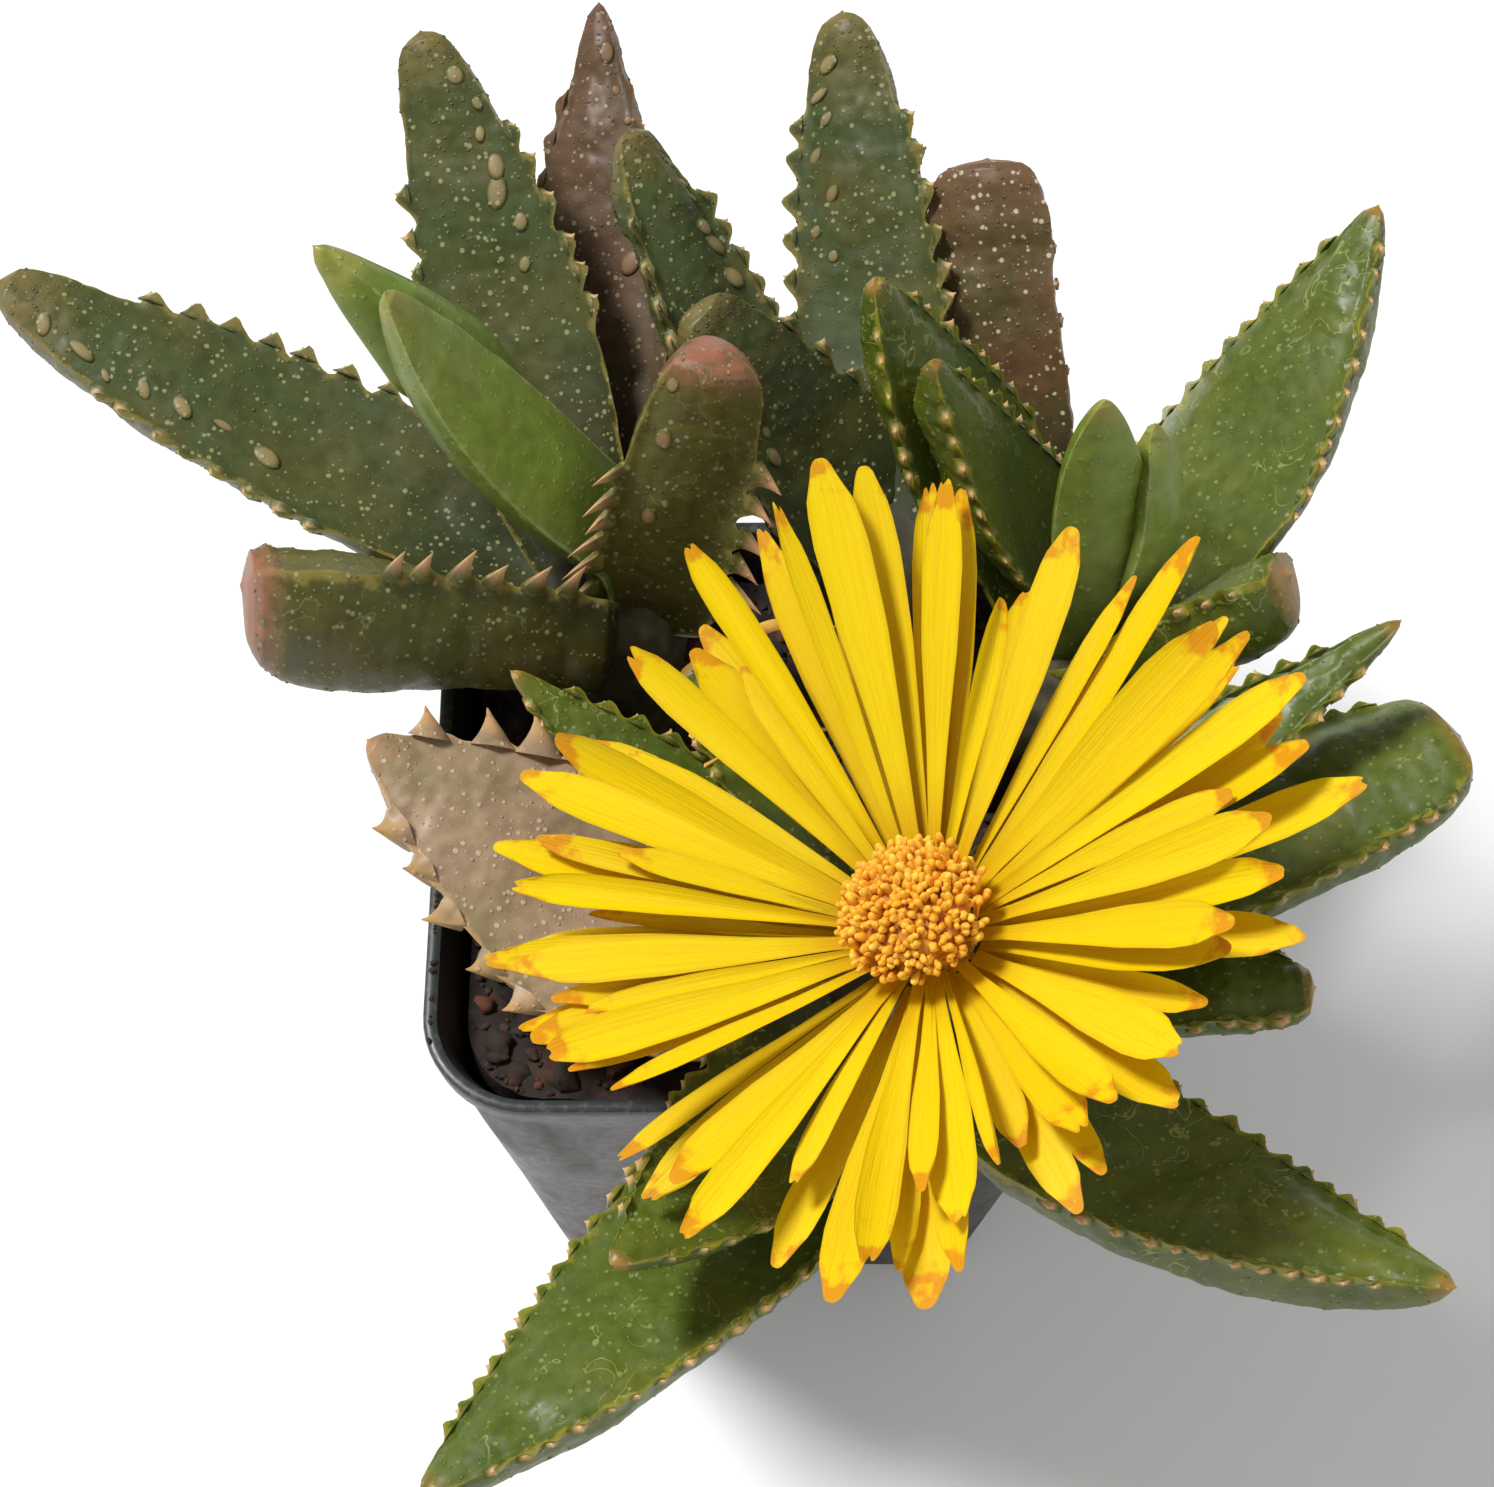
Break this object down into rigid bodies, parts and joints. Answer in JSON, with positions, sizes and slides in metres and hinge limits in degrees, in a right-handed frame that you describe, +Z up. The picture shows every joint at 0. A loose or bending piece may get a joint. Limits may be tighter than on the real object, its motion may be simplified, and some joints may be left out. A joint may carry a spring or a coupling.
{
  "type": "potted succulent",
  "caption": "Tiger-jaw succulent with thick toothed leaves and a yellow daisy-like flower, growing in a small square tapered nursery pot.",
  "frame": {"origin": "middle of the pot's flat underside", "axes": "+Z up along the pot's axis, +X to the right across the pot's front side, +Y towards its back"},
  "size_m": [0.1041, 0.108, 0.0861],
  "materials": {
    "pot_plastic": "thin injection-moulded polypropylene, satin, a little dusty",
    "soil": "damp potting mix with bark and grit, rough",
    "green_leaf": "waxy fresh green skin, fine pale dots, toothed pale margins",
    "grey_leaf": "older grey-green skin with white dots and tan edges",
    "old_leaf": "old red-brown to mauve skin with pale dots",
    "young_leaf": "smooth bright young leaf, satin",
    "stem": "short corky stem",
    "calyx": "fleshy green cup",
    "petal": "thin silky yellow petals with orange tips",
    "stamens": "dense golden anthers, matt",
    "wilted_petal": "dry papery threads"
  },
  "bodies": {
    "root": {"bud_left_far": "young_leaf", "bud_left_near": "young_leaf", "bud_right_far": "young_leaf", "bud_right_near": "young_leaf", "calyx": "calyx", "flower_stalk": "stem", "leaf_back_brown": "old_leaf", "leaf_back_curved": "grey_leaf", "leaf_back_short": "grey_leaf", "leaf_back_tall": "grey_leaf", "leaf_front_dark": "green_leaf", "leaf_front_low_left": "green_leaf", "leaf_front_low_right": "green_leaf", "leaf_front_old": "old_leaf", "leaf_front_right": "green_leaf", "leaf_front_small": "green_leaf", "leaf_front_tiny": "green_leaf", "leaf_front_upper_left": "green_leaf", "leaf_front_upper_right": "green_leaf", "leaf_left_back": "grey_leaf", "leaf_left_brown": "old_leaf", "leaf_left_far": "grey_leaf", "leaf_left_jaw_high": "grey_leaf", "leaf_left_jaw_low": "grey_leaf", "leaf_right_big": "green_leaf", "leaf_right_inner": "green_leaf", "leaf_right_second": "green_leaf", "leaf_right_side": "green_leaf", "petals_lower": "petal", "petals_middle": "petal", "petals_upper": "petal", "pot": "pot_plastic", "soil": "soil", "stamens": "stamens", "stem_back": "stem", "stem_front": "stem", "stem_left": "stem", "stem_right": "stem", "wilted_petal_1": "wilted_petal", "wilted_petal_2": "wilted_petal", "wilted_petal_3": "wilted_petal"}
  },
  "joints": []
}
